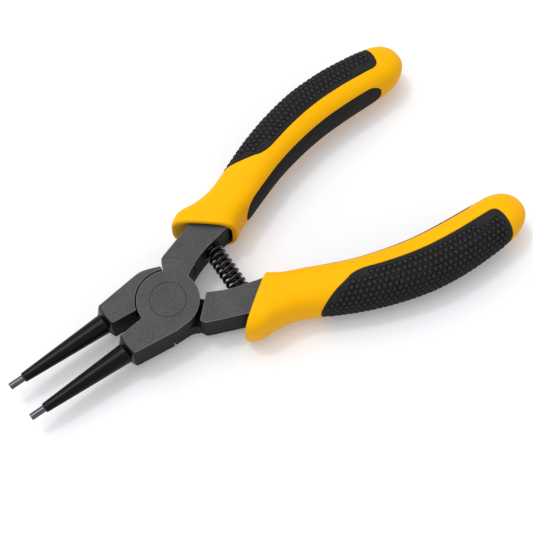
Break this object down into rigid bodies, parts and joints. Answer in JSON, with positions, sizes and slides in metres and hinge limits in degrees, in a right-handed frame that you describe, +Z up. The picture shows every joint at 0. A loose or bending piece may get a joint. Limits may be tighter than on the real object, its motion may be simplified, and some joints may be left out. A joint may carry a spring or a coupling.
{
  "type": "internal circlip pliers",
  "caption": "Straight-nose internal circlip pliers with a riveted lap joint, pressed-in tip pins, a coil return spring between the arms and soft-grip sleeved handles.",
  "frame": {"origin": "on the pivot axis, on the underside of the lap joint", "axes": "+X from the pivot to the handles, +Y to the handle of the half whose disc is on top, +Z up along the pivot"},
  "size_m": [0.1813, 0.092, 0.0206],
  "materials": {
    "black_steel": "black phosphate, fine blasted grain",
    "bare_steel": "ground bare steel",
    "spring_steel": "oiled black spring wire",
    "yellow_plastic": "satin moulded",
    "black_soft_grip": "matte overmoulded elastomer"
  },
  "bodies": {
    "top_half_body": {"top_half": "black_steel", "top_half_tip": "bare_steel", "pivot_rivet": "black_steel", "top_half_spring_peg": "bare_steel", "return_spring": "spring_steel", "top_half_sleeve": "yellow_plastic", "top_half_outer_grip": "black_soft_grip", "top_half_inner_grip": "black_soft_grip"},
    "bottom_half_body": {"bottom_half": "black_steel", "bottom_half_tip": "bare_steel", "bottom_half_spring_peg": "bare_steel", "bottom_half_sleeve": "yellow_plastic", "bottom_half_outer_grip": "black_soft_grip", "bottom_half_inner_grip": "black_soft_grip"}
  },
  "joints": [
    {"name": "pivot", "type": "hinge", "parent": "top_half_body", "child": "bottom_half_body", "pos_m": [0, 0, 0], "axis": [0, 0, 1], "range_deg": [0, 9.5], "stiffness_Nm_per_rad": 1.1, "springref_deg": -4.58, "deforming": ["return_spring"]}
  ]
}
